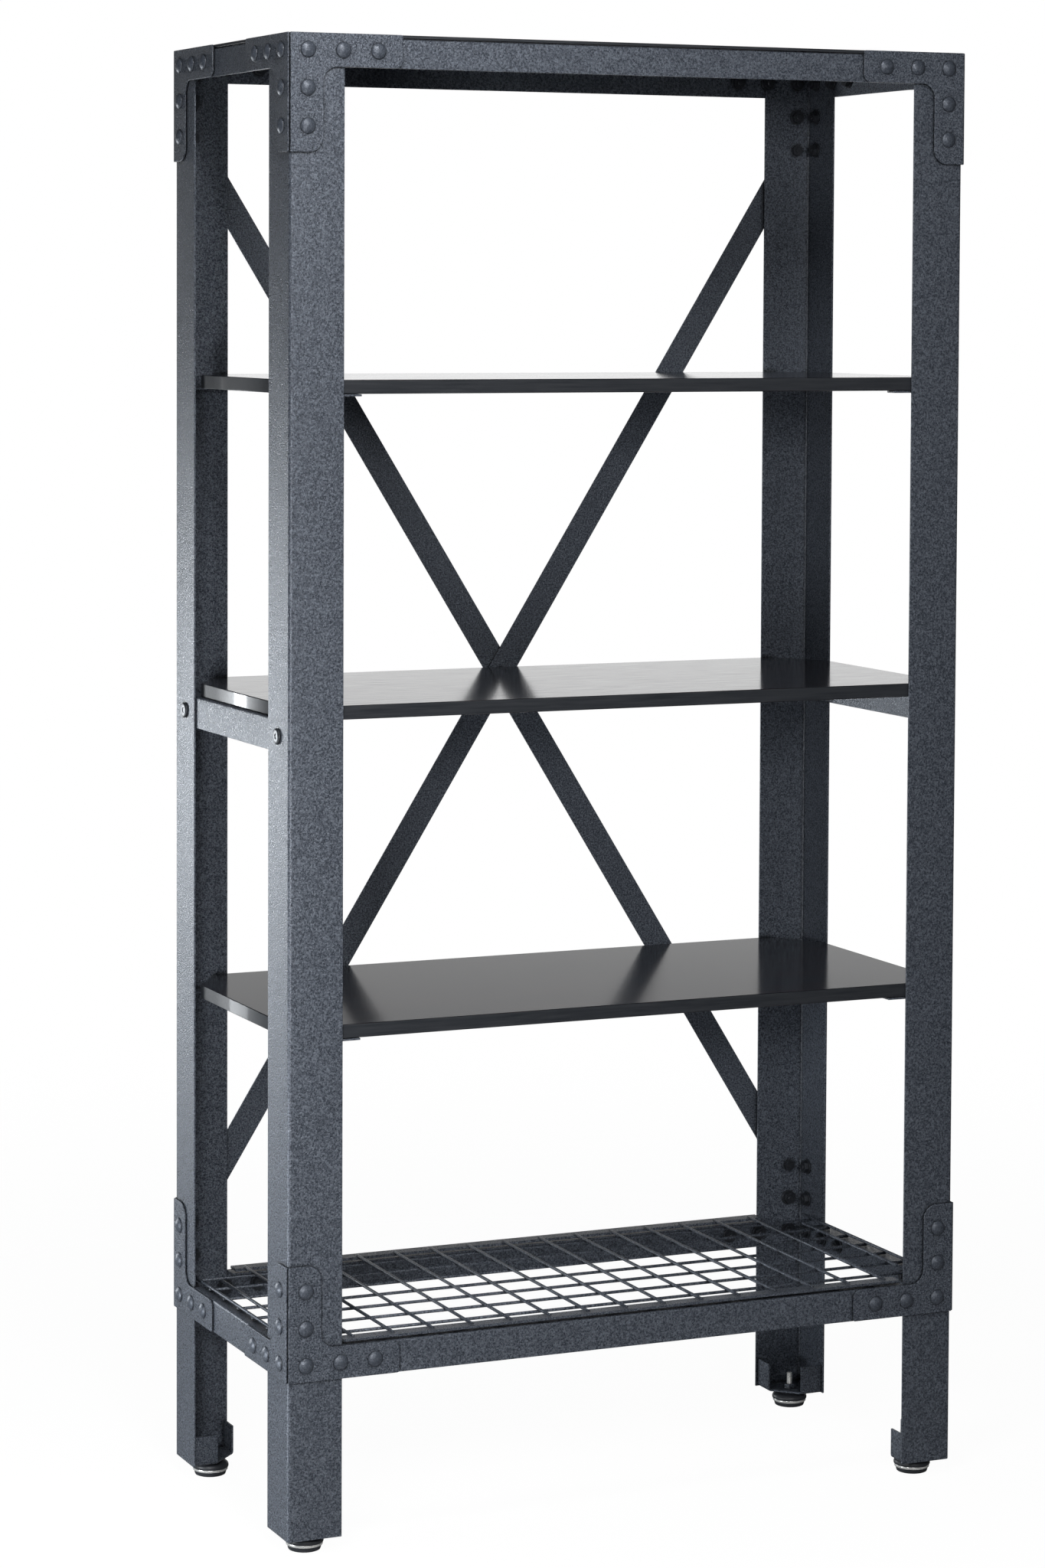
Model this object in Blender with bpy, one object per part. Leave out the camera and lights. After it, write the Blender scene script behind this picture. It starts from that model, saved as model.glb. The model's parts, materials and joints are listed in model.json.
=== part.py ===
"""Riveted steel shelving: four angle posts, gusset plates, loose boards, a wire deck and screw feet.

Metres, +Z up. The front faces -Y, +X is to the right, and the origin is on the floor under the
middle of the unit. Touching pieces keep GAP between them.
"""

import math

import bmesh
import bpy
from mathutils import Matrix, Vector

# ---------------------------------------------------------------- driving dimensions
WIDTH = 0.9144  # outside of the posts, left to right
DEPTH = 0.4064  # outside of the posts, front to back
HEIGHT = 1.8288  # floor to the top of the panel
GAP = 0.0003

POST_LEG = 0.070
POST_SHEET = 0.0025
POST_BEND = 0.0045  # outer radius of the fold
POST_BOTTOM = 0.020  # what shows of each foot
PANEL_THICK = 0.004
PANEL_INSET = 0.001

RAIL_HEIGHT = 0.040
RAIL_FLANGE = 0.022
RAIL_SHEET = 0.002
RAIL_BEND = 0.003
LOWER_RAIL_BOTTOM = 0.214

GUSSET_SHEET = 0.0025
GUSSET_ALONG = 0.144  # reach along the rail
GUSSET_UPRIGHT = 0.141  # reach along the post
GUSSET_ARM = 0.042  # width of the arm that lies on the post
GUSSET_ROUND = 0.018
RIVET_FIRST = 0.022  # first rivet from the post's corner
RIVET_PITCH = 0.045
RIVET_RADIUS = 0.0093
RIVET_RISE = 0.0045

BOARD_TOPS = {"lower_board": 0.643, "middle_board": 1.028, "upper_board": 1.418}
TAB_BOARDS = ("lower_board", "upper_board")  # these rest on tabs, the middle one on beams
BOARD_THICK = 0.017
BOARD_SIDE_INSET = 0.008
BOARD_FRONT_INSET = 0.004
BOARD_CLIP_X = 0.044
BOARD_CLIP_Y = 0.070
TAB_LENGTH = 0.094
TAB_DEPTH = 0.025

BEAM_BOLT_INSET = 0.037
BOLT_RADIUS = 0.004
HOLE_RADIUS = 0.0045
NUT = (0.0074, 0.0045, 0.002)  # radius, thickness, and the shank's length past it
RIVET_TAIL = (0.0070, 0.0012, 0.0003)

BRACE_WIDTH = 0.035
BRACE_SHEET = 0.002
BRACE_END_INSET = RIVET_FIRST  # a strap's end bolt stands where a plate's last rivet would
BRACE_END_LOW = LOWER_RAIL_BOTTOM + RAIL_HEIGHT / 2 + 2 * RIVET_PITCH
BRACE_END_HIGH = HEIGHT - RAIL_HEIGHT / 2 - 2 * RIVET_PITCH
BRACE_STAND_OFF = GUSSET_SHEET + 2 * GAP  # the straps lie on the back plates

WIRE = 0.004
CROSS_PITCH = 0.0525
CROSS_COUNT = 17
LONG_COUNT = 7
STRIP_WIDTH = 0.020

BRACKET_SHEET = 0.0025
BRACKET_TAB_HEIGHT = 0.038
BRACKET_TAB_WIDTH = 0.031
FOOT_INSET = 0.035
FOOT_RADIUS = 0.0235
STUD_TOP = 0.044

STEEL = ((0.075, 0.085, 0.105), 0.50, 0.60)
BOARD = ((0.020, 0.017, 0.018), 0.22, 0.0)
BOLT_BLACK = ((0.030, 0.032, 0.036), 0.40, 0.60)
NICKEL = ((0.78, 0.78, 0.76), 0.25, 1.0)
RUBBER = ((0.015, 0.015, 0.016), 0.60, 0.0)

POST_TOP = HEIGHT - PANEL_THICK - 2 * GAP
CORNERS = (("front_left", -1, -1), ("front_right", 1, -1), ("back_right", 1, 1), ("back_left", -1, 1))


# ---------------------------------------------------------------- helpers
def clear_scene():
    for item in list(bpy.data.objects):
        bpy.data.objects.remove(item, do_unlink=True)


def material(name, look):
    colour, roughness, metallic = look
    made = bpy.data.materials.new(name)
    made.use_nodes = True
    shader = made.node_tree.nodes["Principled BSDF"]
    shader.inputs["Base Color"].default_value = (*colour, 1.0)
    shader.inputs["Roughness"].default_value = roughness
    shader.inputs["Metallic"].default_value = metallic
    made.diffuse_color = (*colour, 1.0)
    return made


def link(name, mesh, look):
    piece = bpy.data.objects.new(name, mesh)
    bpy.context.scene.collection.objects.link(piece)
    if look:
        mesh.materials.append(material(name, look))
    return piece


def mesh_of(shape):
    """Ends a bmesh as a mesh whose faces point out, smooth across its fine facets."""
    bmesh.ops.recalc_face_normals(shape, faces=shape.faces)
    mesh = bpy.data.meshes.new("shape")
    shape.to_mesh(mesh)
    shape.free()
    mesh.shade_smooth()
    mesh.set_sharp_from_angle(angle=math.radians(35))
    return mesh


def add_prism(shape, outline, low, high, axis="Z"):
    """Adds a closed prism to a bmesh. The outline lies in XY, YZ or ZX, across its axis."""
    place = {
        "X": lambda a, b, c: (c, a, b),
        "Y": lambda a, b, c: (b, c, a),
        "Z": lambda a, b, c: (a, b, c),
    }[axis]
    floor = [shape.verts.new(place(a, b, low)) for a, b in outline]
    face = shape.faces.new(floor)
    moved = bmesh.ops.extrude_face_region(shape, geom=[face])["geom"]
    offset = Vector(place(0.0, 0.0, high - low))
    bmesh.ops.translate(shape, vec=offset, verts=[v for v in moved if isinstance(v, bmesh.types.BMVert)])


def box_outline(a0, a1, b0, b1):
    return [(a0, b0), (a1, b0), (a1, b1), (a0, b1)]


def prism(outline, low, high, axis="Z"):
    shape = bmesh.new()
    add_prism(shape, outline, low, high, axis)
    return mesh_of(shape)


def rounded(points, steps=5):
    """An outline whose corners (x, y, radius) are turned into arcs. Radius 0 keeps the corner."""
    outline = []
    count = len(points)
    for i, (x, y, radius) in enumerate(points):
        here = Vector((x, y))
        if radius == 0:
            outline.append((x, y))
            continue
        back = (Vector(points[i - 1][:2]) - here).normalized()
        ahead = (Vector(points[(i + 1) % count][:2]) - here).normalized()
        half = back.angle(ahead) / 2
        centre = here + (back + ahead).normalized() * (radius / math.sin(half))
        first = here + back * (radius / math.tan(half)) - centre
        last = here + ahead * (radius / math.tan(half)) - centre
        sweep = first.angle_signed(last)
        for k in range(steps + 1):
            spoke = first.copy()
            spoke.rotate(Matrix.Rotation(-sweep * k / steps, 2))
            outline.append(tuple(centre + spoke))
    return outline


def angle_outline(leg_a, leg_b, sheet, bend):
    """The section of folded angle iron, its corner at the origin."""
    inner = bend - sheet
    return rounded(
        [
            (0, 0, bend),
            (leg_a, 0, 0),
            (leg_a, sheet, 0),
            (sheet, sheet, inner),
            (sheet, leg_b, 0),
            (0, leg_b, 0),
        ],
        steps=4,
    )


def turned(profile, centre, segments):
    """A closed turned solid: (radius, z) pairs from the bottom up, its two ends on the axis."""
    shape = bmesh.new()
    path = [(0.0, profile[0][1])] + list(profile) + [(0.0, profile[-1][1])]
    chain = [shape.verts.new((r, 0.0, z)) for r, z in path]
    edges = [shape.edges.new(pair) for pair in zip(chain, chain[1:])]
    bmesh.ops.spin(
        shape,
        geom=chain + edges,
        cent=(0, 0, 0),
        axis=(0, 0, 1),
        angle=math.tau,
        steps=segments,
        use_merge=True,
    )
    bmesh.ops.remove_doubles(shape, verts=shape.verts, dist=1e-6)
    bmesh.ops.translate(shape, vec=centre, verts=shape.verts)
    return mesh_of(shape)


def drum(shape, centre, direction, radius, length, segments=12):
    """Adds a closed cylinder that starts at centre and runs along direction."""
    turn = Vector((0, 0, 1)).rotation_difference(Vector(direction)).to_matrix().to_4x4()
    middle = Vector(centre) + Vector(direction) * (length / 2)
    bmesh.ops.create_cone(
        shape,
        cap_ends=True,
        segments=segments,
        radius1=radius,
        radius2=radius,
        depth=length,
        matrix=Matrix.Translation(middle) @ turn,
    )


def evaluated(piece):
    """The piece's mesh with its modifiers applied, in its own space."""
    bpy.context.view_layer.update()
    return bpy.data.meshes.new_from_object(piece.evaluated_get(bpy.context.evaluated_depsgraph_get()))


def helper(name, mesh):
    piece = link(name, mesh, None)
    piece.hide_render = True
    piece.display_type = "WIRE"
    return piece


def boolean(piece, other, operation):
    step = piece.modifiers.new(operation.lower(), "BOOLEAN")
    step.operation = operation
    step.solver = "EXACT"
    step.object = other


def mirrored(mesh, axis):
    """A copy of a mesh mirrored across X, Y or Z, its faces still pointing out."""
    copy = mesh.copy()
    scale = [-1 if name == axis else 1 for name in "XYZ"]
    copy.transform(Matrix.Diagonal((*scale, 1)))
    copy.flip_normals()
    return copy


# ---------------------------------------------------------------- posts
def post_mesh():
    """One post, its corner at the origin and its legs along +X and +Y, holes still to be cut."""
    shape = bmesh.new()
    add_prism(shape, angle_outline(POST_LEG, POST_LEG, POST_SHEET, POST_BEND), POST_BOTTOM, POST_TOP)
    return mesh_of(shape)


def tab_mesh(top):
    """A welded shelf tab. It starts inside the leg's sheet and reaches past the leg's edge."""
    root = POST_SHEET / 2
    outline = rounded(
        [
            (root, root, 0),
            (TAB_LENGTH, POST_SHEET + GAP, 0),
            (TAB_LENGTH, TAB_DEPTH, 0.006),
            (root, TAB_DEPTH, 0),
        ],
        steps=3,
    )
    return prism(outline, top - POST_SHEET, top)


def make_posts():
    for name, side, face in CORNERS:
        post = link(f"post_{name}", post_mesh(), STEEL)
        for board in TAB_BOARDS:
            top = BOARD_TOPS[board] - BOARD_THICK - GAP
            boolean(post, helper(f"tab_{name}_{board}", tab_mesh(top)), "UNION")
        holes = bmesh.new()
        beam_middle = BOARD_TOPS["middle_board"] - BOARD_THICK - GAP - RAIL_HEIGHT / 2
        drum(holes, (-0.002, BEAM_BOLT_INSET, beam_middle), (1, 0, 0), HOLE_RADIUS, 0.007)
        if face > 0:
            for level in (BRACE_END_LOW, BRACE_END_HIGH):
                drum(holes, (BRACE_END_INSET, -0.002, level), (0, 1, 0), HOLE_RADIUS, 0.007)
        boolean(post, helper(f"post_holes_{name}", mesh_of(holes)), "DIFFERENCE")
        body = evaluated(post)
        if side > 0:
            body = mirrored(body, "X")
        if face > 0:
            body = mirrored(body, "Y")
        post.modifiers.clear()
        post.data = body
        post.location = (side * WIDTH / 2, face * DEPTH / 2, 0)


# ---------------------------------------------------------------- rails, beams, panel
def rail_outline():
    """An angle with its web outside and its flange on top, pointing in (+first axis)."""
    outline = angle_outline(RAIL_FLANGE, RAIL_HEIGHT, RAIL_SHEET, RAIL_BEND)
    return [(a, -b) for a, b in outline]


def make_rail(name, face, top, web_height=RAIL_HEIGHT):
    """A rail that fills the space between two posts. face is front, back, left or right."""
    across = face in ("front", "back")
    sign = -1 if face in ("front", "left") else 1
    half = ((WIDTH if across else DEPTH) / 2) - POST_LEG - GAP
    outside = sign * (DEPTH if across else WIDTH) / 2
    outline = [(outside - sign * a, top + max(b, -web_height)) for a, b in rail_outline()]
    if not across:
        outline = [(b, a) for a, b in outline]
    link(name, prism(outline, -half, half, "X" if across else "Y"), STEEL)


def make_rails():
    for face in ("front", "right", "back", "left"):
        make_rail(f"top_rail_{face}", face, POST_TOP, RAIL_HEIGHT - (HEIGHT - POST_TOP))
        make_rail(f"lower_rail_{face}", face, LOWER_RAIL_BOTTOM + RAIL_HEIGHT)


def make_panel():
    half_x, half_y = WIDTH / 2 - PANEL_INSET, DEPTH / 2 - PANEL_INSET
    outline = box_outline(-half_x, half_x, -half_y, half_y)
    link("top_panel", prism(outline, HEIGHT - PANEL_THICK, HEIGHT), BOARD)


def make_beams():
    """The side beams under the middle board, bolted inside the posts' side legs."""
    top = BOARD_TOPS["middle_board"] - BOARD_THICK - GAP
    half = DEPTH / 2 - POST_BEND - GAP
    for name, side in (("left", -1), ("right", 1)):
        outside = side * (WIDTH / 2 - POST_SHEET - GAP)
        outline = [(top + b, outside - side * a) for a, b in rail_outline()]
        beam = link(f"side_beam_{name}", prism(outline, -half, half, "Y"), STEEL)
        holes = bmesh.new()
        for end in (-1, 1):
            start = (outside - side * 0.004, end * (DEPTH / 2 - BEAM_BOLT_INSET), top - RAIL_HEIGHT / 2)
            drum(holes, start, (side, 0, 0), HOLE_RADIUS, 0.008)
        boolean(beam, helper(f"beam_holes_{name}", mesh_of(holes)), "DIFFERENCE")


# ---------------------------------------------------------------- gussets
def rivet_spots(bolted):
    """Three rivets along the rail, then two down the post. A strap's bolt takes the last one's place."""
    level = -RAIL_HEIGHT / 2
    along = [(RIVET_FIRST + k * RIVET_PITCH, level) for k in range(3)]
    down = [(RIVET_FIRST, level - k * RIVET_PITCH) for k in (1, 2)]
    return along + (down[:-1] if bolted else down)


def rivet_heads(spots):
    """Domed heads, each sunk a little into the plate's outer face."""
    steps = 2
    ball = (RIVET_RADIUS**2 + RIVET_RISE**2) / (2 * RIVET_RISE)
    half_angle = math.asin(RIVET_RADIUS / ball)
    cap = [
        (ball * math.sin(half_angle * (1 - k / steps)), ball * math.cos(half_angle * (1 - k / steps)) - ball)
        for k in range(steps)
    ]
    cap = [(RIVET_RADIUS, -RIVET_RISE - GAP)] + cap
    shape = bmesh.new()
    for x, z in spots:
        head = turned(cap, (0, 0, RIVET_RISE), 10)
        head.transform(Matrix.Translation((x, -GUSSET_SHEET - GAP, z)) @ Matrix.Rotation(math.pi / 2, 4, "X"))
        shape.from_mesh(head)
    return mesh_of(shape)


def gusset_mesh(bolted=False):
    """The plate for a top corner: arms along +X and -Z, its outer face towards -Y."""
    outline = rounded(
        [
            (0, 0, 0),
            (GUSSET_ALONG, 0, 0),
            (GUSSET_ALONG, -RAIL_HEIGHT, 0.010),
            (GUSSET_ARM, -RAIL_HEIGHT, GUSSET_ROUND),
            (GUSSET_ARM, -GUSSET_UPRIGHT, GUSSET_ROUND),
            (0, -GUSSET_UPRIGHT, 0),
        ]
    )
    plate = helper("gusset_plate", prism([(z, x) for x, z in outline], -GAP - GUSSET_SHEET, -GAP, "Y"))
    boolean(plate, helper("gusset_rivets", rivet_heads(rivet_spots(bolted))), "UNION")
    if bolted:
        hole = bmesh.new()
        drum(hole, (BRACE_END_INSET, -0.006, BRACE_END_HIGH - HEIGHT), (0, 1, 0), HOLE_RADIUS, 0.008)
        boolean(plate, helper("gusset_hole", mesh_of(hole)), "DIFFERENCE")
    return evaluated(plate)


def make_gussets():
    """Each face carries a left and a right plate at the top and at the lower rail."""
    meshes = {}
    for bolted in (False, True):
        meshes["top", 1, bolted] = gusset_mesh(bolted)
        meshes["lower", 1, bolted] = mirrored(meshes["top", 1, bolted], "Z")
        for row in ("top", "lower"):
            meshes[row, -1, bolted] = mirrored(meshes[row, 1, bolted], "X")
    faces = (
        ("front", 0, ("left", -1, -1), ("right", 1, -1)),
        ("right", 90, ("front", 1, -1), ("back", 1, 1)),
        ("back", 180, ("right", 1, 1), ("left", -1, 1)),
        ("left", 270, ("back", -1, 1), ("front", -1, -1)),
    )
    for face, turn, start, end in faces:
        for hand, (corner, x, y) in ((1, start), (-1, end)):
            for row, level in (("top", HEIGHT), ("lower", LOWER_RAIL_BOTTOM)):
                mesh = meshes[row, hand, face == "back"].copy()
                mesh.set_sharp_from_angle(angle=math.radians(35))
                plate = link(f"{row}_gusset_{face}_{corner}", mesh, STEEL)
                plate.rotation_euler.z = math.radians(turn)
                plate.location = (x * WIDTH / 2, y * DEPTH / 2, level)


# ---------------------------------------------------------------- boards
def make_boards():
    half_x, half_y = WIDTH / 2 - BOARD_SIDE_INSET, DEPTH / 2 - BOARD_FRONT_INSET
    outline = []
    for x, y in ((-1, -1), (1, -1), (1, 1), (-1, 1)):
        along = (x * (half_x - BOARD_CLIP_X), y * half_y)
        up = (x * half_x, y * (half_y - BOARD_CLIP_Y))
        outline += [up, along] if x == y else [along, up]
    for name, top in BOARD_TOPS.items():
        board = link(name, prism(outline, top - BOARD_THICK, top), BOARD)
        edge = board.modifiers.new("edge", "BEVEL")
        edge.width = 0.0008
        edge.segments = 2


# ---------------------------------------------------------------- braces
def make_braces():
    """Two straps on the back plates. The one that falls to the right lies outside the other."""
    reach = WIDTH / 2 - BRACE_END_INSET
    rise = (BRACE_END_HIGH - BRACE_END_LOW) / 2
    middle = (BRACE_END_HIGH + BRACE_END_LOW) / 2
    half = math.hypot(reach, rise)
    slope = math.atan2(rise, reach)
    end = half + BRACE_WIDTH / 2
    outline = rounded(
        [(-end, -BRACE_WIDTH / 2, 0.012), (end, -BRACE_WIDTH / 2, 0.012), (end, BRACE_WIDTH / 2, 0.012),
         (-end, BRACE_WIDTH / 2, 0.012)],
        steps=3,
    )
    layers = (("rising_brace", -slope, 0), ("falling_brace", slope, BRACE_SHEET + GAP))
    for name, turn, lift in layers:
        face = DEPTH / 2 + BRACE_STAND_OFF + lift
        brace = link(name, prism([(z, x) for x, z in outline], 0, BRACE_SHEET, "Y"), STEEL)
        holes = bmesh.new()
        for along in (-half, 0, half):
            drum(holes, (along, -0.002, 0), (0, 1, 0), HOLE_RADIUS, 0.006)
        boolean(brace, helper(f"{name}_holes", mesh_of(holes)), "DIFFERENCE")
        brace.data = evaluated(brace)
        brace.modifiers.clear()
        brace.rotation_euler.y = turn
        brace.location = (0, face, middle)
    add_brace_bolts(middle)


def add_brace_bolts(middle):
    """Low round heads outside and nuts inside the posts. One more bolt ties the straps where they cross."""
    inner_strap = DEPTH / 2 + BRACE_STAND_OFF
    first = inner_strap + BRACE_SHEET
    second = first + GAP + BRACE_SHEET
    inside = DEPTH / 2 - POST_SHEET
    spots = (
        ("high_left", -1, BRACE_END_HIGH, second, inside),
        ("high_right", 1, BRACE_END_HIGH, first, inside),
        ("low_left", -1, BRACE_END_LOW, first, inside),
        ("low_right", 1, BRACE_END_LOW, second, inside),
        ("middle", 0, middle, second, inner_strap),
    )
    for name, side, level, outside, inside in spots:
        x = side * (WIDTH / 2 - BRACE_END_INSET)
        nut = RIVET_TAIL if side == 0 else NUT
        mesh = bolt_mesh((x, outside, level), (0, -1, 0), outside - inside, 0.0024, nut)
        link(f"brace_bolt_{name}", mesh, BOLT_BLACK)


def bolt_mesh(seat, direction, grip, head_rise, nut):
    """A bolt with its nut. seat is under the head, and the shank runs along direction."""
    nut_radius, nut_thick, past = nut
    head_radius = 0.0098
    into = grip + GAP
    profile = [
        (BOLT_RADIUS, -into - nut_thick - past),
        (BOLT_RADIUS, -into - nut_thick),
        (nut_radius, -into - nut_thick),
        (nut_radius, -into),
        (BOLT_RADIUS, -into),
        (BOLT_RADIUS, GAP),
        (head_radius, GAP),
        (head_radius, GAP + head_rise * 0.4),
        (head_radius * 0.75, GAP + head_rise),
    ]
    mesh = turned(profile, (0, 0, 0), 10)
    turn = Vector((0, 0, 1)).rotation_difference(-Vector(direction)).to_matrix().to_4x4()
    mesh.transform(Matrix.Translation(seat) @ turn)
    return mesh


def make_beam_bolts():
    level = BOARD_TOPS["middle_board"] - BOARD_THICK - GAP - RAIL_HEIGHT / 2
    for name, side, face in CORNERS:
        seat = (side * WIDTH / 2, face * (DEPTH / 2 - BEAM_BOLT_INSET), level)
        grip = POST_SHEET + GAP + RAIL_SHEET
        link(f"beam_bolt_{name}", bolt_mesh(seat, (-side, 0, 0), grip, 0.003, NUT), BOLT_BLACK)


# ---------------------------------------------------------------- wire deck
def make_deck():
    """Long wires under cross wires, with a flat strip along the front and the back, all welded."""
    weld = 0.0004
    half_x, half_y = WIDTH / 2 - 0.010, DEPTH / 2 - 0.003
    base = LOWER_RAIL_BOTTOM + RAIL_HEIGHT + GAP
    lower = (base, base + WIRE)
    upper = (lower[1] - weld, lower[1] - weld + WIRE)
    strip = (lower[0] + 0.002, upper[0] + weld)
    strips = bmesh.new()
    for side in (-1, 1):
        reach = half_x - POST_LEG + 0.006
        inner, outer = side * (half_y - STRIP_WIDTH), side * half_y
        add_prism(strips, box_outline(-reach, reach, min(inner, outer), max(inner, outer)), *strip)
    long_wires = bmesh.new()
    span = half_y - STRIP_WIDTH
    for k in range(LONG_COUNT):
        y = -span + 2 * span * (k + 0.5) / LONG_COUNT
        add_prism(long_wires, box_outline(-half_x, half_x, y - WIRE / 2, y + WIRE / 2), *lower)
    cross_wires = bmesh.new()
    places = [(k - (CROSS_COUNT - 1) / 2) * CROSS_PITCH for k in range(CROSS_COUNT)]
    for x in places:
        reach = half_y - STRIP_WIDTH / 2
        if abs(x) > WIDTH / 2 - POST_LEG:
            reach = DEPTH / 2 - POST_LEG - 0.004
        add_prism(cross_wires, box_outline(x - WIRE / 2, x + WIRE / 2, -reach, reach), *upper)
    for x in (-half_x + WIRE / 2, half_x - WIRE / 2):
        reach = half_y - STRIP_WIDTH * 1.2
        add_prism(cross_wires, box_outline(x - WIRE / 2, x + WIRE / 2, -reach, reach), *upper)
    deck = link("wire_deck", mesh_of(cross_wires), STEEL)
    boolean(deck, helper("deck_long_wires", mesh_of(long_wires)), "UNION")
    boolean(deck, helper("deck_strips", mesh_of(strips)), "UNION")


# ---------------------------------------------------------------- feet
def bracket_mesh():
    """A corner plate with its inner corner cut off, two upturned tabs and a weld nut, hole open."""
    near = POST_SHEET + GAP
    far = POST_LEG - 0.003
    cut = near + BRACKET_TAB_WIDTH
    plate = [(near, near), (far, near), (far, cut), (cut, far), (near, far)]
    relief = POST_BEND - POST_SHEET
    plate[0:1] = [(near, near + relief), (near + relief, near)]
    top = POST_BOTTOM + BRACKET_SHEET
    shape = bmesh.new()
    add_prism(shape, plate, POST_BOTTOM, top)
    body = helper("bracket_plate", mesh_of(shape))
    tabs = bmesh.new()
    tab_top = POST_BOTTOM + BRACKET_TAB_HEIGHT
    add_prism(tabs, box_outline(far - BRACKET_SHEET, far, near, cut), POST_BOTTOM + GAP, tab_top)
    add_prism(tabs, box_outline(near, cut, far - BRACKET_SHEET, far), POST_BOTTOM + GAP, tab_top)
    boolean(body, helper("bracket_tabs", mesh_of(tabs)), "UNION")
    nut = bmesh.new()
    drum(nut, (FOOT_INSET, FOOT_INSET, top - GAP), (0, 0, 1), 0.0075, 0.0065, segments=6)
    boolean(body, helper("bracket_nut", mesh_of(nut)), "UNION")
    hole = bmesh.new()
    drum(hole, (FOOT_INSET, FOOT_INSET, POST_BOTTOM - 0.005), (0, 0, 1), 0.0046, 0.025, segments=16)
    boolean(body, helper("bracket_hole", mesh_of(hole)), "DIFFERENCE")
    return evaluated(body)


def pad_profile():
    """The glide: a pad on the floor, a metal rim and a cap with a socket for the stud's end."""
    r = FOOT_RADIUS
    return [
        (r * 0.84, 0.0),
        (r * 0.90, 0.0058),
        (r * 0.95, 0.0062),
        (r * 0.96, 0.0088),
        (r, 0.0100),
        (r, 0.0130),
        (r * 0.92, 0.0155),
        (0.0115, 0.0168),
        (0.0115, POST_BOTTOM - GAP),
        (0.0052, POST_BOTTOM - GAP),
        (0.0052, 0.0130),
    ]


def make_feet():
    bracket = bracket_mesh()
    stud = [
        (0.0036, 0.0133),
        (0.0040, 0.0138),
        (0.0040, STUD_TOP - 0.0010),
        (0.0030, STUD_TOP),
    ]
    for name, side, face in CORNERS:
        mesh = bracket.copy()
        if side > 0:
            mesh = mirrored(mesh, "X")
        if face > 0:
            mesh = mirrored(mesh, "Y")
        mesh.set_sharp_from_angle(angle=math.radians(35))
        holder = link(f"foot_bracket_{name}", mesh, STEEL)
        holder.location = (side * WIDTH / 2, face * DEPTH / 2, 0)
        centre = (side * (WIDTH / 2 - FOOT_INSET), face * (DEPTH / 2 - FOOT_INSET), 0)
        glide = link(f"foot_pad_{name}", turned(pad_profile(), (0, 0, 0), 24), RUBBER)
        glide.location = centre
        screw = link(f"foot_stud_{name}", turned(stud, (0, 0, 0), 16), NICKEL)
        screw.location = centre


clear_scene()
make_posts()
make_rails()
make_panel()
make_beams()
make_gussets()
make_boards()
make_braces()
make_beam_bolts()
make_deck()
make_feet()
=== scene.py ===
"""The looks of the riveted steel shelving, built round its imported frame.

Metres, +Z up. The front faces -Y and the floor is at z = 0. Every piece is drawn where the frame has it.
"""

import json
import math

import bmesh
import bpy
from mathutils import Matrix, Vector

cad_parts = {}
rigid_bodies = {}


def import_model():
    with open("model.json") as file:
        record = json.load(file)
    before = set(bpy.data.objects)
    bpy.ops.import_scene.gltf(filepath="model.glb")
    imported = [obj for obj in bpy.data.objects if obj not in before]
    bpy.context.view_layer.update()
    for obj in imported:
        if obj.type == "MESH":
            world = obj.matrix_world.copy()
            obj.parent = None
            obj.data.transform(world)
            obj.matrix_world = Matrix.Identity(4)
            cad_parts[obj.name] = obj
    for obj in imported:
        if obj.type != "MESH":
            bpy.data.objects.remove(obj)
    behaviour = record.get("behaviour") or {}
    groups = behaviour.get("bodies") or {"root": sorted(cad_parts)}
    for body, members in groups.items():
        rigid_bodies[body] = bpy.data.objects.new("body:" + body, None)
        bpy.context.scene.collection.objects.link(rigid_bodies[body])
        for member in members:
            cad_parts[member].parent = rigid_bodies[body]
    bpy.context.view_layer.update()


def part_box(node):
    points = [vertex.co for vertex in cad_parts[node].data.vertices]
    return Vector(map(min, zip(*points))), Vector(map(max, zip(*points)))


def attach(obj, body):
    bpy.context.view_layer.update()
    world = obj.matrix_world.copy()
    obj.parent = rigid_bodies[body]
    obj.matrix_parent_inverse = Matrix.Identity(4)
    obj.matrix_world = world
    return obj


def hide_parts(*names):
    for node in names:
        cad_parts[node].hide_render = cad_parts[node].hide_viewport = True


for item in list(bpy.data.objects):
    bpy.data.objects.remove(item, do_unlink=True)

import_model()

# ---------------------------------------------------------------- sizes
GAP = 0.0003
CORNERS = (("front_left", -1, -1), ("front_right", 1, -1), ("back_right", 1, 1), ("back_left", -1, 1))

POST_LOW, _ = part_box("post_front_left")
_, POST_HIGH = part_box("post_back_right")
WIDTH = POST_HIGH.x - POST_LOW.x
DEPTH = POST_HIGH.y - POST_LOW.y
POST_BOTTOM = POST_LOW.z
POST_TOP = POST_HIGH.z
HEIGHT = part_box("top_panel")[1].z

POST_LEG = WIDTH / 2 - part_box("top_rail_front")[1].x - GAP
POST_SHEET = 0.0025
POST_BEND = 0.0045

RAIL_SHEET = 0.002
RAIL_BEND = 0.003
RAIL_FLANGE = 0.022
RAIL_HEIGHT = 0.040
LOWER_RAIL_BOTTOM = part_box("lower_rail_front")[0].z

PLATE_SHEET = 0.0025
PLATE_ALONG = 0.144
PLATE_UPRIGHT = 0.141
PLATE_ARM = 0.042
PLATE_ROUND = 0.018
RIVET_FIRST = 0.022
RIVET_PITCH = 0.045
RIVET_RADIUS = 0.0096
RIVET_RISE = 0.0047
RIVET_RIM = 0.0009

SHANK_RADIUS = 0.0040
WASHER_RADIUS = 0.0098
WASHER_TOP = 0.0015
NUT_RADIUS = 0.0082
NUT_BASE = 0.0016
NUT_TOP = 0.0072
TAIL_TOP = 0.0092
NUT_SPIN = 40.0  # radians for each metre along the plate, so that the nuts are turned differently

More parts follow.
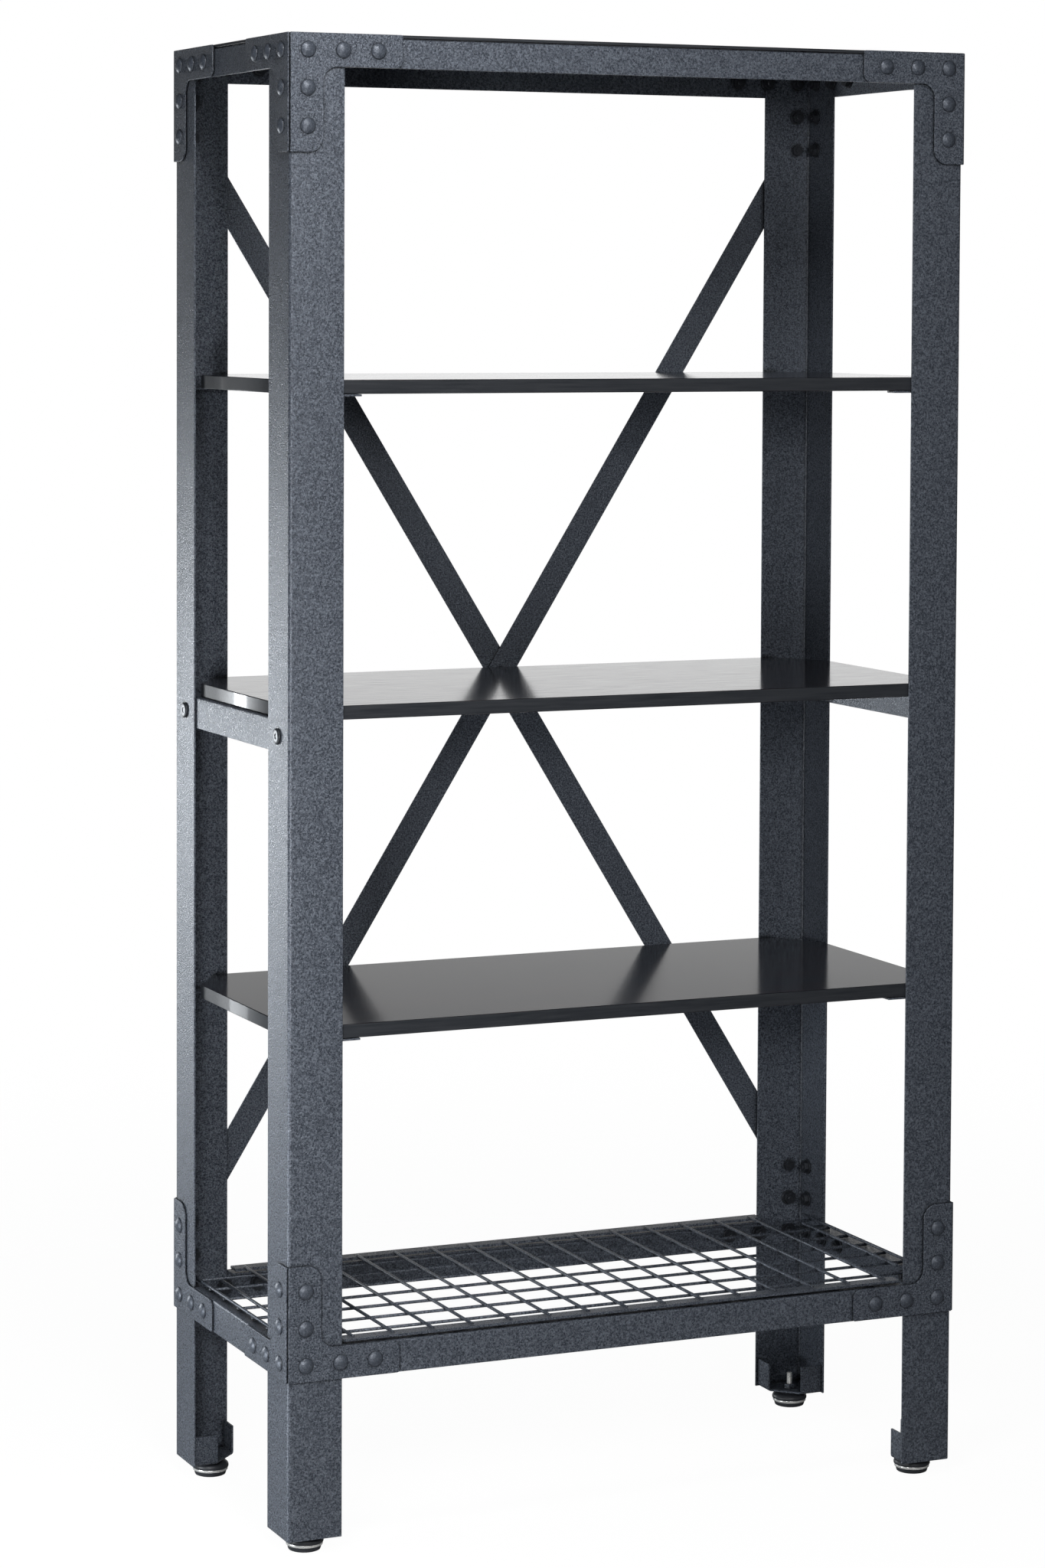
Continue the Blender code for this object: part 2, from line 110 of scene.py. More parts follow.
BOLT_HEAD_RADIUS = 0.0098
BOLT_HEAD_RISE = 0.003
BOLT_NUT_RADIUS = 0.0078
BOLT_NUT_HEIGHT = 0.0046
BOLT_NUT_TURN = 0.3  # radians

BOARD_CLIP_X = 0.044
BOARD_CLIP_Y = 0.070
TAB_LENGTH = 0.094
TAB_DEPTH = 0.025
TAB_ROUND = 0.006

BRACE_END_INSET = RIVET_FIRST
BRACE_WIDTH = 0.035
BRACE_SHEET = 0.002
BRACE_ROUND = 0.012

WIRE = 0.004
CROSS_PITCH = 0.0525
CROSS_COUNT = 17
LONG_COUNT = 7
STRIP_WIDTH = 0.020
STRIP_LAP = 0.006
END_WIRE_INSET = 0.024

BRACKET_SHEET = 0.0025
BRACKET_TAB_HEIGHT = 0.038
BRACKET_TAB_WIDTH = 0.031
BRACKET_MARGIN = 0.003
BRACKET_BEND = 0.0045
BRACKET_TAB_BASE = 0.0046
WELD_NUT_RADIUS = 0.0075
WELD_NUT_HEIGHT = 0.0062
FOOT_INSET = 0.035
FOOT_RADIUS = (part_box("foot_pad_front_left")[1].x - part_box("foot_pad_front_left")[0].x) / 2
THREAD_RADIUS = 0.0040
THREAD_PITCH = 0.00125
THREAD_DEPTH = 0.0007
THREAD_CHAMFER = 0.001


# ---------------------------------------------------------------- shader helpers
class Nodes:
    """The node tree of a material or a world, with short calls for the nodes that the looks use."""

    def __init__(self, owner):
        owner.use_nodes = True
        self.owner = owner
        self.tree = owner.node_tree
        self.coordinates = self.add("ShaderNodeTexCoord").outputs
        self.place = self.coordinates["Object"]

    def add(self, kind, **settings):
        node = self.tree.nodes.new(kind)
        for key, value in settings.items():
            setattr(node, key, value)
        return node

    def join(self, source, target):
        self.tree.links.new(source, target)

    def stretched(self, x, y, z):
        node = self.add("ShaderNodeMapping")
        node.inputs["Scale"].default_value = (x, y, z)
        self.join(self.place, node.inputs["Vector"])
        return node.outputs["Vector"]

    def noise(self, scale, detail=2.0, rough=0.5, where=None, distortion=0.0):
        node = self.add("ShaderNodeTexNoise")
        node.inputs["Scale"].default_value = scale
        node.inputs["Detail"].default_value = detail
        node.inputs["Roughness"].default_value = rough
        node.inputs["Distortion"].default_value = distortion
        self.join(where or self.place, node.inputs["Vector"])
        return node.outputs["Fac"]

    def ramp(self, value, stops):
        """stops are (position, grey or colour) pairs."""
        node = self.add("ShaderNodeValToRGB")
        band = node.color_ramp
        while len(band.elements) < len(stops):
            band.elements.new(0.5)
        for element, (position, colour) in zip(band.elements, stops):
            element.position = position
            shade = colour if isinstance(colour, tuple) else (colour,) * 3
            element.color = (*shade, 1.0)
        self.join(value, node.inputs["Fac"])
        return node.outputs["Color"]

    def mix(self, factor, first, second, blend="MIX"):
        node = self.add("ShaderNodeMix", data_type="RGBA", blend_type=blend)
        for socket, value in ((0, factor), (6, first), (7, second)):
            if isinstance(value, bpy.types.NodeSocket):
                self.join(value, node.inputs[socket])
            elif socket == 0:
                node.inputs[socket].default_value = value
            else:
                node.inputs[socket].default_value = (*value, 1.0)
        return node.outputs[2]

    def upright(self, vector):
        """The Z part of a vector."""
        node = self.add("ShaderNodeSeparateXYZ")
        self.join(vector, node.inputs["Vector"])
        return node.outputs["Z"]

    def vector(self, operation, first, second=None):
        """Vector arithmetic. second is a socket or a fixed (x, y, z)."""
        node = self.add("ShaderNodeVectorMath", operation=operation)
        self.join(first, node.inputs[0])
        if isinstance(second, tuple):
            node.inputs[1].default_value = second
        elif second:
            self.join(second, node.inputs[1])
        return node.outputs["Value" if operation in ("DOT_PRODUCT", "LENGTH") else "Vector"]

    def diffuse(self, grey):
        node = self.add("ShaderNodeBsdfDiffuse")
        node.inputs["Color"].default_value = (grey, grey, grey, 1.0)
        return node.outputs["BSDF"]

    def blend(self, factor, first, second):
        """A shader that goes from the first to the second."""
        node = self.add("ShaderNodeMixShader")
        self.join(factor, node.inputs["Fac"])
        self.join(first, node.inputs[1])
        self.join(second, node.inputs[2])
        return node.outputs["Shader"]

    def seen_directly(self):
        """1 where the camera looks straight at it, 0 for the light that it gives and reflects."""
        return self.add("ShaderNodeLightPath").outputs["Is Camera Ray"]

    def spread(self, value, low, high):
        """Maps 0..1 onto low..high."""
        node = self.add("ShaderNodeMapRange")
        node.inputs["To Min"].default_value = low
        node.inputs["To Max"].default_value = high
        self.join(value, node.inputs["Value"])
        return node.outputs["Result"]

    def bump(self, height, distance, strength=1.0, under=None):
        node = self.add("ShaderNodeBump")
        node.inputs["Distance"].default_value = distance
        node.inputs["Strength"].default_value = strength
        self.join(height, node.inputs["Height"])
        if under:
            self.join(under, node.inputs["Normal"])
        return node.outputs["Normal"]

    def set(self, **values):
        """Sets a material's shader sockets and returns it. A name's underscores stand for spaces."""
        for key, value in values.items():
            socket = self.tree.nodes["Principled BSDF"].inputs[key.replace("_", " ")]
            if isinstance(value, bpy.types.NodeSocket):
                self.join(value, socket)
            elif isinstance(value, tuple):
                socket.default_value = (*value, 1.0)
            else:
                socket.default_value = value
        return self.owner


# ---------------------------------------------------------------- materials
def new_look(name):
    return Nodes(bpy.data.materials.new(name))


def powder_coat(name, grain):
    """Blue-grey wrinkle coat: dark hollows, raised crumbs and bright flakes. grain scales its unevenness.

    It has painted shade in corners, along plate edges and round rivets, and its hollows are glossier than its
    crumbs.
    """
    n = new_look(name)
    coarse = n.noise(470.0, 2.0, 0.6)
    fine = n.noise(900.0, 2.0, 0.6)
    coat = (0.070, 0.082, 0.105)
    stops = [(0.35, (0.025, 0.030, 0.040)), (0.50, coat), (0.65, (0.25, 0.28, 0.33))]
    mottle = n.mix(0.5, n.ramp(coarse, stops), n.ramp(fine, stops))
    colour = n.mix(grain, coat, mottle)
    # ambient occlusion darkens the colour near corners, plate edges and rivets: painted shade
    painted_crevice_shade = n.add("ShaderNodeAmbientOcclusion", samples=6)
    painted_crevice_shade.inputs["Distance"].default_value = 0.007
    shade = n.ramp(painted_crevice_shade.outputs["AO"], [(0.50, 0.16), (0.94, 1.0)])
    colour = n.mix(1.0, colour, shade, "MULTIPLY")
    normal = n.bump(fine, 0.0004, 0.5 * grain, under=n.bump(coarse, 0.0012, 0.6 * grain))
    rough = n.ramp(coarse, [(0.38, 0.46 - 0.22 * grain), (0.62, 0.46)])
    return n.set(Base_Color=colour, Metallic=0.25, Roughness=rough, Normal=normal)


def lacquered_board():
    """Espresso lacquer over veneer: streaks along the board, a faint orange peel and a satin edge band."""
    n = new_look("lacquered_board")
    grain = n.noise(9.0, 4.0, 0.6, n.stretched(0.6, 9.0, 9.0), 0.4)
    pores = n.noise(60.0, 2.0, 0.7, n.stretched(0.25, 6.0, 6.0))
    peel = n.noise(210.0, 1.0)
    flat = n.add("ShaderNodeMath", operation="ABSOLUTE")
    n.join(n.upright(n.coordinates["Normal"]), flat.inputs[0])
    face = n.ramp(flat.outputs["Value"], [(0.4, 0.0), (0.8, 1.0)])
    face_colour = n.ramp(
        grain, [(0.36, (0.004, 0.0045, 0.007)), (0.52, (0.010, 0.009, 0.012)), (0.70, (0.040, 0.018, 0.016))]
    )
    edge_colour = n.ramp(pores, [(0.3, (0.020, 0.023, 0.028)), (0.7, (0.034, 0.037, 0.043))])
    face_rough = n.ramp(pores, [(0.3, 0.11), (0.7, 0.19)])
    edge_rough = n.ramp(pores, [(0.3, 0.36), (0.7, 0.46)])
    return n.set(
        Base_Color=n.mix(face, edge_colour, face_colour),
        Roughness=n.mix(face, edge_rough, face_rough),
        Normal=n.bump(peel, 0.00004, 0.25, under=n.bump(pores, 0.00004, 0.2)),
        Coat_Weight=0.2,
        Coat_Roughness=0.08,
    )


def blackened_bolts():
    """Oiled black steel."""
    n = new_look("blackened_bolts")
    fine = n.noise(900.0, 2.0, 0.6)
    return n.set(
        Base_Color=n.ramp(fine, [(0.3, (0.016, 0.018, 0.022)), (0.7, (0.070, 0.077, 0.090))]),
        Metallic=0.5,
        Roughness=n.spread(fine, 0.28, 0.48),
        Normal=n.bump(fine, 0.0002, 0.3),
    )


def nickel_plate():
    """Bright satin plating, drawn round the part."""
    n = new_look("nickel_plate")
    drawn = n.noise(500.0, 2.0, 0.5, n.stretched(1.0, 1.0, 8.0))
    colour = n.ramp(drawn, [(0.3, (0.80, 0.80, 0.78)), (0.7, (0.94, 0.94, 0.92))])
    return n.set(Base_Color=colour, Metallic=0.45, Roughness=n.spread(drawn, 0.20, 0.36))


def black_plastic():
    """Moulded black with a fine spark-eroded grain."""
    n = new_look("black_plastic")
    fine = n.noise(1100.0, 2.0, 0.6)
    return n.set(
        Base_Color=n.ramp(fine, [(0.3, (0.022, 0.024, 0.029)), (0.7, (0.044, 0.048, 0.056))]),
        Roughness=n.spread(fine, 0.34, 0.52),
        Normal=n.bump(fine, 0.0001, 0.25),
    )


STEEL = powder_coat("powder_coat", 1.0)
RIVET = powder_coat("powder_coat_rivets", 0.5)
BOARD = lacquered_board()
BOLT = blackened_bolts()
NICKEL = nickel_plate()
PLASTIC = black_plastic()


# ---------------------------------------------------------------- mesh helpers
def piece(name, shape, look, body="frame", replaces=(), bevel=0.0, steps=2, sharp=35.0):
    """Ends a bmesh as a shown piece that rides on a body. bevel rounds its edges by that much."""
    bmesh.ops.recalc_face_normals(shape, faces=shape.faces)
    mesh = bpy.data.meshes.new(name)
    shape.to_mesh(mesh)
    shape.free()
    mesh.materials.append(look)
    mesh.shade_smooth()
    mesh.set_sharp_from_angle(angle=math.radians(sharp))
    made = bpy.data.objects.new(name, mesh)
    bpy.context.scene.collection.objects.link(made)
    if bevel:
        edge = made.modifiers.new("edge", "BEVEL")
        edge.width = bevel
        edge.segments = steps
        edge.limit_method = "ANGLE"
        edge.angle_limit = math.radians(40)
        edge.harden_normals = True
    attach(made, body)
    if replaces:
        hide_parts(*replaces)
    return made


def prism(shape, outline, low, high, axis="Z"):
    """Adds a closed prism. The outline lies in XY, YZ or ZX, across its axis."""
    place = {
        "X": lambda a, b, c: (c, a, b),
        "Y": lambda a, b, c: (b, c, a),
        "Z": lambda a, b, c: (a, b, c),
    }[axis]
    face = shape.faces.new([shape.verts.new(place(a, b, low)) for a, b in outline])
    moved = bmesh.ops.extrude_face_region(shape, geom=[face])["geom"]
    points = [v for v in moved if isinstance(v, bmesh.types.BMVert)]
    bmesh.ops.translate(shape, vec=Vector(place(0.0, 0.0, high - low)), verts=points)
    return points + list(face.verts)


def rectangle(a0, a1, b0, b1):
    return [(a0, b0), (a1, b0), (a1, b1), (a0, b1)]


def rounded(points, steps=8):
    """An outline whose corners (x, y, radius) are turned into arcs. Radius 0 keeps the corner."""
    outline = []
    count = len(points)
    for i, (x, y, radius) in enumerate(points):
        here = Vector((x, y))
        if radius == 0:
            outline.append((x, y))
            continue
        back = (Vector(points[i - 1][:2]) - here).normalized()
        ahead = (Vector(points[(i + 1) % count][:2]) - here).normalized()
        half = back.angle(ahead) / 2
        centre = here + (back + ahead).normalized() * (radius / math.sin(half))
        first = here + back * (radius / math.tan(half)) - centre
        last = here + ahead * (radius / math.tan(half)) - centre
        sweep = first.angle_signed(last)
        for k in range(steps + 1):
            spoke = first.copy()
            spoke.rotate(Matrix.Rotation(-sweep * k / steps, 2))
            outline.append(tuple(centre + spoke))
    return outline


def angle_outline(leg_a, leg_b, sheet, bend):
    """The section of folded angle iron, its corner at the origin."""
    corners = [
        (0, 0, bend),
        (leg_a, 0, 0),
        (leg_a, sheet, 0),
        (sheet, sheet, bend - sheet),
        (sheet, leg_b, 0),
        (0, leg_b, 0),
    ]
    return rounded(corners, 6)


def turned(shape, profile, place=None, segments=32):
    """Adds a turned solid: (radius, z) pairs from the bottom up, closed on its axis at both ends."""
    rings = []
    for radius, z in profile:
        angles = [math.tau * k / segments for k in range(segments)]
        rings.append([shape.verts.new((radius * math.cos(a), radius * math.sin(a), z)) for a in angles])
    for low, high in zip(rings, rings[1:]):
        for k in range(segments):
            m = (k + 1) % segments
            shape.faces.new((low[k], low[m], high[m], high[k]))
    shape.faces.new(list(reversed(rings[0])))
    shape.faces.new(rings[-1])
    if place:
        bmesh.ops.transform(shape, matrix=place, verts=[v for ring in rings for v in ring])


def rod(shape, start, end, radius, segments=12):
    """Adds a round bar with slightly eased ends."""
    start, end = Vector(start), Vector(end)
    length = (end - start).length
    ease = radius * 0.25
    turn = Vector((0, 0, 1)).rotation_difference(end - start).to_matrix().to_4x4()
    profile = [(radius - ease, 0), (radius, ease), (radius, length - ease), (radius - ease, length)]
    turned(shape, profile, Matrix.Translation(start) @ turn, segments)


def hexagon(radius):
    return [(radius * math.cos(math.tau * k / 6), radius * math.sin(math.tau * k / 6)) for k in range(6)]


def mirrored_at(side, face):
    """Mirrors a shape drawn for the front left corner, and moves it to another corner."""
    place = Matrix.Translation((side * WIDTH / 2, face * DEPTH / 2, 0))
    return place @ Matrix.Diagonal((-side, -face, 1, 1))


# ---------------------------------------------------------------- posts, rails, beams, panel
def build_posts():
    for name, side, face in CORNERS:
        shape = bmesh.new()
        prism(shape, angle_outline(POST_LEG, POST_LEG, POST_SHEET, POST_BEND), POST_BOTTOM, POST_TOP)
        for board in ("lower_board", "upper_board"):
            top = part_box(board)[0].z - GAP
            tab = rounded(
                [
                    (POST_SHEET * 0.9, POST_SHEET * 0.9, 0),
                    (TAB_LENGTH, POST_SHEET + GAP, 0),
                    (TAB_LENGTH, TAB_DEPTH, TAB_ROUND),
                    (POST_SHEET * 0.9, TAB_DEPTH, 0),
                ]
            )
            prism(shape, tab, top - POST_SHEET, top)
        bmesh.ops.transform(shape, matrix=mirrored_at(side, face), verts=shape.verts)
        piece(f"angle_post_{name}", shape, STEEL, replaces=[f"post_{name}"], bevel=0.0006)


def rail_outline():
    return [(a, -b) for a, b in angle_outline(RAIL_FLANGE, RAIL_HEIGHT, RAIL_SHEET, RAIL_BEND)]


def build_rail(name, face, top, web):
    across = face in ("front", "back")
    sign = -1 if face in ("front", "left") else 1
    half = (WIDTH if across else DEPTH) / 2 - POST_LEG - GAP
    outside = sign * (DEPTH if across else WIDTH) / 2
    outline = [(outside - sign * a, top + max(b, -web)) for a, b in rail_outline()]
    if not across:
        outline = [(b, a) for a, b in outline]
    shape = bmesh.new()
    prism(shape, outline, -half, half, "X" if across else "Y")
    piece(f"{name}_angle", shape, STEEL, replaces=[name], bevel=0.0005)


def build_rails():
    for face in ("front", "right", "back", "left"):
        build_rail(f"top_rail_{face}", face, POST_TOP, RAIL_HEIGHT - (HEIGHT - POST_TOP))
        build_rail(f"lower_rail_{face}", face, LOWER_RAIL_BOTTOM + RAIL_HEIGHT, RAIL_HEIGHT)


def build_panel():
    low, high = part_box("top_panel")
    shape = bmesh.new()
    prism(shape, rectangle(low.x, high.x, low.y, high.y), low.z, high.z)
    piece("top_cover", shape, BOARD, replaces=["top_panel"], bevel=0.0008, steps=3)


def build_beams():
    for name, side in (("left", -1), ("right", 1)):
        low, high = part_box(f"side_beam_{name}")
        outside = low.x if side < 0 else high.x
        outline = [(high.z + b, outside - side * a) for a, b in rail_outline()]
        shape = bmesh.new()
        prism(shape, outline, low.y, high.y, "Y")
        piece(f"side_beam_{name}_angle", shape, STEEL, replaces=[f"side_beam_{name}"], bevel=0.0005)


# ---------------------------------------------------------------- corner plates
def rivet_spots(bolted):
    """Three along the rail, then two down the post. On a bolted plate a strap's bolt takes the last place."""
    along = [(RIVET_FIRST + k * RIVET_PITCH, -RAIL_HEIGHT / 2) for k in range(3)]
    down = [(RIVET_FIRST, -RAIL_HEIGHT / 2 - k * RIVET_PITCH) for k in (1, 2)]
    return along + (down[:-1] if bolted else down)


def plate_outline():
    corners = [
        (0, 0, 0.0012),
        (PLATE_ALONG, 0, 0.003),
        (PLATE_ALONG, -RAIL_HEIGHT, 0.010),
        (PLATE_ARM, -RAIL_HEIGHT, PLATE_ROUND),
        (PLATE_ARM, -PLATE_UPRIGHT, PLATE_ROUND),
        (0, -PLATE_UPRIGHT, 0.0012),
    ]
    return rounded(corners, 10)


def dome_profile():
    """A domed head with a short upright rim, its seat at z = 0."""
    rise = RIVET_RISE - RIVET_RIM
    ball = (RIVET_RADIUS**2 + rise**2) / (2 * rise)
    half = math.asin(RIVET_RADIUS / ball)
    steps = 7
    angles = [half * (1 - k / steps) for k in range(steps)]
    dome = [(ball * math.sin(a), RIVET_RIM + ball * math.cos(a) - (ball - rise)) for a in angles]
    return [(RIVET_RADIUS, 0.0)] + dome


def build_plate(node, place, bolted):
    """A plate, its rivets' heads, and the washers, nuts and shank ends inside the post."""
    spots = rivet_spots(bolted)
    shape = bmesh.new()
    prism(shape, [(z, x) for x, z in plate_outline()], -GAP - PLATE_SHEET, -GAP, "Y")
    bmesh.ops.transform(shape, matrix=place, verts=shape.verts)
    piece(f"{node}_plate", shape, STEEL, replaces=[node], bevel=0.0007)

    heads = bmesh.new()
    outward = Matrix.Rotation(math.pi / 2, 4, "X")
    for x, z in spots:
        turned(heads, dome_profile(), Matrix.Translation((x, -GAP - PLATE_SHEET, z)) @ outward, 36)
    bmesh.ops.transform(heads, matrix=place, verts=heads.verts)
    piece(f"{node}_rivets", heads, RIVET, sharp=50.0)

    tails = bmesh.new()
    washer = [(WASHER_RADIUS, 0), (WASHER_RADIUS, WASHER_TOP - 0.0003), (WASHER_RADIUS - 0.0004, WASHER_TOP)]
    tail = [
        (SHANK_RADIUS, NUT_TOP - 0.0012),
        (SHANK_RADIUS, TAIL_TOP - 0.0006),
        (SHANK_RADIUS - 0.0008, TAIL_TOP),
    ]
    for x, z in spots:
        inside = Matrix.Translation((x, POST_SHEET + GAP, z)) @ Matrix.Rotation(-math.pi / 2, 4, "X")
        turned(tails, washer, inside, 28)
        nut = prism(tails, hexagon(NUT_RADIUS), NUT_BASE, NUT_TOP)
        bmesh.ops.transform(tails, matrix=inside @ Matrix.Rotation(x * NUT_SPIN, 4, "Z"), verts=nut)
        turned(tails, tail, inside, 16)
    bmesh.ops.transform(tails, matrix=place, verts=tails.verts)
    piece(f"{node}_nuts", tails, BOLT, bevel=0.0003, steps=1)


def build_plates():
    faces = (
        ("front", 0, ("left", -1, -1), ("right", 1, -1)),
        ("right", 90, ("front", 1, -1), ("back", 1, 1)),
        ("back", 180, ("right", 1, 1), ("left", -1, 1)),
        ("left", 270, ("back", -1, 1), ("front", -1, -1)),
    )
    for face, turn, start, end in faces:
        for hand, (corner, x, y) in ((1, start), (-1, end)):
            for row, level, upright in (("top", HEIGHT, 1), ("lower", LOWER_RAIL_BOTTOM, -1)):
                place = Matrix.Translation((x * WIDTH / 2, y * DEPTH / 2, level))
                place = place @ Matrix.Rotation(math.radians(turn), 4, "Z")
                place = place @ Matrix.Diagonal((hand, 1, upright, 1))
                build_plate(f"{row}_gusset_{face}_{corner}", place, face == "back")


# ---------------------------------------------------------------- boards
def build_boards():
    for level in ("lower", "middle", "upper"):
        node = f"{level}_board"
        low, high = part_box(node)
        outline = []
        for x, y in ((-1, -1), (1, -1), (1, 1), (-1, 1)):
            along = (x * (high.x - BOARD_CLIP_X), y * high.y)
            up = (x * high.x, y * (high.y - BOARD_CLIP_Y))
            outline += [up, along] if x == y else [along, up]
        shape = bmesh.new()
        prism(shape, outline, low.z, high.z)
        piece(f"{node}_panel", shape, BOARD, f"{level}_shelf", [node], bevel=0.0012, steps=4)


# ---------------------------------------------------------------- braces and bolts
def strap_outline(half):
    """A strap that reaches half its width past its bolts, which are half away from its middle."""
    side = BRACE_WIDTH / 2
    return rounded([(x, y, BRACE_ROUND) for x, y in rectangle(-half - side, half + side, -side, side)])


def build_braces():
    for name, direction in (("rising_brace", -1), ("falling_brace", 1)):
        low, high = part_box(name)
        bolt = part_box("brace_bolt_high_left")
        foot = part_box("brace_bolt_low_left")
        rise = ((bolt[0].z + bolt[1].z) - (foot[0].z + foot[1].z)) / 4
        reach = WIDTH / 2 - BRACE_END_INSET
        half = math.hypot(reach, rise)
        shape = bmesh.new()
        prism(shape, [(z, x) for x, z in strap_outline(half)], 0, BRACE_SHEET, "Y")
        turn = Matrix.Rotation(direction * math.atan2(rise, reach), 4, "Y")
        place = Matrix.Translation((0, low.y, (low.z + high.z) / 2)) @ turn
        bmesh.ops.transform(shape, matrix=place, verts=shape.verts)
        piece(f"{name}_strap", shape, STEEL, replaces=[name], bevel=0.0005)


def build_bolt(node, outward):
    """A low socket head outside, a shank and a hex nut inside, with its ends where the frame's bolt has them.

    The bolt where the braces cross has a low round collar instead of a nut.
    """
    low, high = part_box(node)
    middle = (low + high) / 2
    along = Vector(outward)
    length = abs((high - low).dot(along))
    head_face = middle + along * (length / 2)
    turn = Vector((0, 0, 1)).rotation_difference(along).to_matrix().to_4x4()
    place = Matrix.Translation(head_face) @ turn
    radius, rise = BOLT_HEAD_RADIUS, BOLT_HEAD_RISE
    end = -length
    shape = bmesh.new()
    head = [
        (radius * 0.97, -rise),
        (radius, -rise * 0.8),
        (radius, -rise * 0.45),
        (radius * 0.93, -rise * 0.16),
        (radius * 0.80, -rise * 0.03),
        (radius * 0.55, 0.0),
        (radius * 0.36, -rise * 0.04),
        (radius * 0.32, -rise * 0.30),
    ]
    turned(shape, head, place, 36)
    shank = [(SHANK_RADIUS - 0.0002, end + 0.0004), (SHANK_RADIUS, end + 0.001), (SHANK_RADIUS, -rise)]
    turned(shape, shank, place, 20)
    if node == "brace_bolt_middle":
        collar = [(0.0066, end + 0.0003), (0.0070, end + 0.0008), (0.0070, end + 0.0014)]
        turned(shape, collar, place, 24)
    else:
        nut = prism(shape, hexagon(BOLT_NUT_RADIUS), end + 0.0018, end + 0.0018 + BOLT_NUT_HEIGHT)
        bmesh.ops.transform(shape, matrix=place @ Matrix.Rotation(BOLT_NUT_TURN, 4, "Z"), verts=nut)
    piece(f"{node}_assembly", shape, BOLT, replaces=[node], sharp=40.0)


def build_bolts():
    for name, side, _ in CORNERS:
        build_bolt(f"beam_bolt_{name}", (side, 0, 0))
    for name in ("high_left", "high_right", "low_left", "low_right", "middle"):
        build_bolt(f"brace_bolt_{name}", (0, 1, 0))


# ---------------------------------------------------------------- wire deck
def build_deck():
    """Long wires, cross wires laid over them, and flat strips along the front and the back."""
    low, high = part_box("wire_deck")
    half_x, half_y = high.x, high.y
    lower = low.z + WIRE / 2
    upper = high.z - WIRE / 2 - GAP
    long_wires = bmesh.new()
    span = half_y - STRIP_WIDTH
    for k in range(LONG_COUNT):
        y = -span + 2 * span * (k + 0.5) / LONG_COUNT
        rod(long_wires, (-half_x, y, lower), (half_x, y, lower), WIRE / 2)
    piece("deck_long_wires", long_wires, STEEL, replaces=["wire_deck"], sharp=50.0)

    cross_wires = bmesh.new()
    for k in range(CROSS_COUNT):
        x = (k - (CROSS_COUNT - 1) / 2) * CROSS_PITCH
        reach = half_y - STRIP_WIDTH / 2
        if abs(x) > WIDTH / 2 - POST_LEG:
            reach = DEPTH / 2 - POST_LEG - WIRE
        rod(cross_wires, (x, -reach, upper), (x, reach, upper), WIRE / 2)
    for x in (-half_x + WIRE / 2, half_x - WIRE / 2):
        reach = half_y - END_WIRE_INSET
        rod(cross_wires, (x, -reach, upper), (x, reach, upper), WIRE / 2)
    piece("deck_cross_wires", cross_wires, STEEL, sharp=50.0)

    strips = bmesh.new()
    reach = half_x - POST_LEG + STRIP_LAP
    for side in (-1, 1):
        inner, outer = sorted((side * (half_y - STRIP_WIDTH), side * half_y))
        prism(strips, rectangle(-reach, reach, inner, outer), low.z + WIRE / 2, high.z - WIRE / 2)
    piece("deck_strips", strips, STEEL, bevel=0.0006)


# ---------------------------------------------------------------- feet
def build_bracket(name, side, face):
    """A plate across the post's foot with its far corner cut off, two upturned tabs and a weld nut."""
    near = POST_SHEET + GAP
    far = POST_LEG - BRACKET_MARGIN
    edge = far - 0.004
    cut = near + BRACKET_TAB_WIDTH
    relief = POST_BEND - POST_SHEET
    low = POST_BOTTOM
    top = POST_BOTTOM + BRACKET_SHEET
    shape = bmesh.new()
    plate = [
        (near, near + relief),
        (near + relief, near),
        (edge, near),
        (edge, cut),
        (cut, edge),
        (near, edge),
    ]
    prism(shape, plate, low, top)
    bent = angle_outline(BRACKET_TAB_BASE, BRACKET_TAB_HEIGHT, BRACKET_SHEET, BRACKET_BEND)
    tab = [(far - a, low + b) for a, b in bent]
    prism(shape, [(z, x) for x, z in tab], near, cut, "Y")
    prism(shape, tab, near, cut, "X")
    nut = prism(shape, hexagon(WELD_NUT_RADIUS), top, top + WELD_NUT_HEIGHT)
    bmesh.ops.translate(shape, vec=(FOOT_INSET, FOOT_INSET, 0), verts=nut)
    bmesh.ops.transform(shape, matrix=mirrored_at(side, face), verts=shape.verts)
    piece(f"foot_bracket_{name}_plate", shape, STEEL, replaces=[f"foot_bracket_{name}"], bevel=0.0005)


def build_pad(name, centre):
    """A black sole, a bright flat ring round it, and a black cup that is widest above the ring."""
    r = FOOT_RADIUS
    place = Matrix.Translation(centre)
    sole = bmesh.new()
    sole_profile = [
        (r * 0.79, 0.0),
        (r * 0.83, 0.0004),
        (r * 0.85, 0.0014),
        (r * 0.88, 0.0040),
        (r * 0.90, 0.0058),
        (r * 0.90, 0.0062),
    ]
    turned(sole, sole_profile, place, 48)
    piece(f"foot_pad_{name}_sole", sole, PLASTIC, f"foot_{name}", [f"foot_pad_{name}"], sharp=50.0)
    ring = bmesh.new()
    ring_profile = [
        (r * 0.92, 0.0059),
        (r * 0.945, 0.0061),
        (r * 0.955, 0.0068),
        (r * 0.96, 0.0084),
        (r * 0.95, 0.0090),
        (r * 0.92, 0.0092),
    ]
    turned(ring, ring_profile, place, 56)
    piece(f"foot_pad_{name}_ring", ring, NICKEL, f"foot_{name}", sharp=50.0)
    cup = bmesh.new()
    cup_profile = [
        (r * 0.93, 0.0091),
        (r * 0.98, 0.0094),
        (r, 0.0102),
        (r, 0.0122),
        (r * 0.975, 0.0140),
        (r * 0.91, 0.0156),
        (r * 0.80, 0.0166),
        (r * 0.56, 0.0172),
        (r * 0.52, 0.0180),
        (r * 0.52, 0.0192),
        (r * 0.48, 0.0196),
    ]
    turned(cup, cup_profile, place, 48)
    piece(f"foot_pad_{name}_cup", cup, PLASTIC, f"foot_{name}", sharp=50.0)


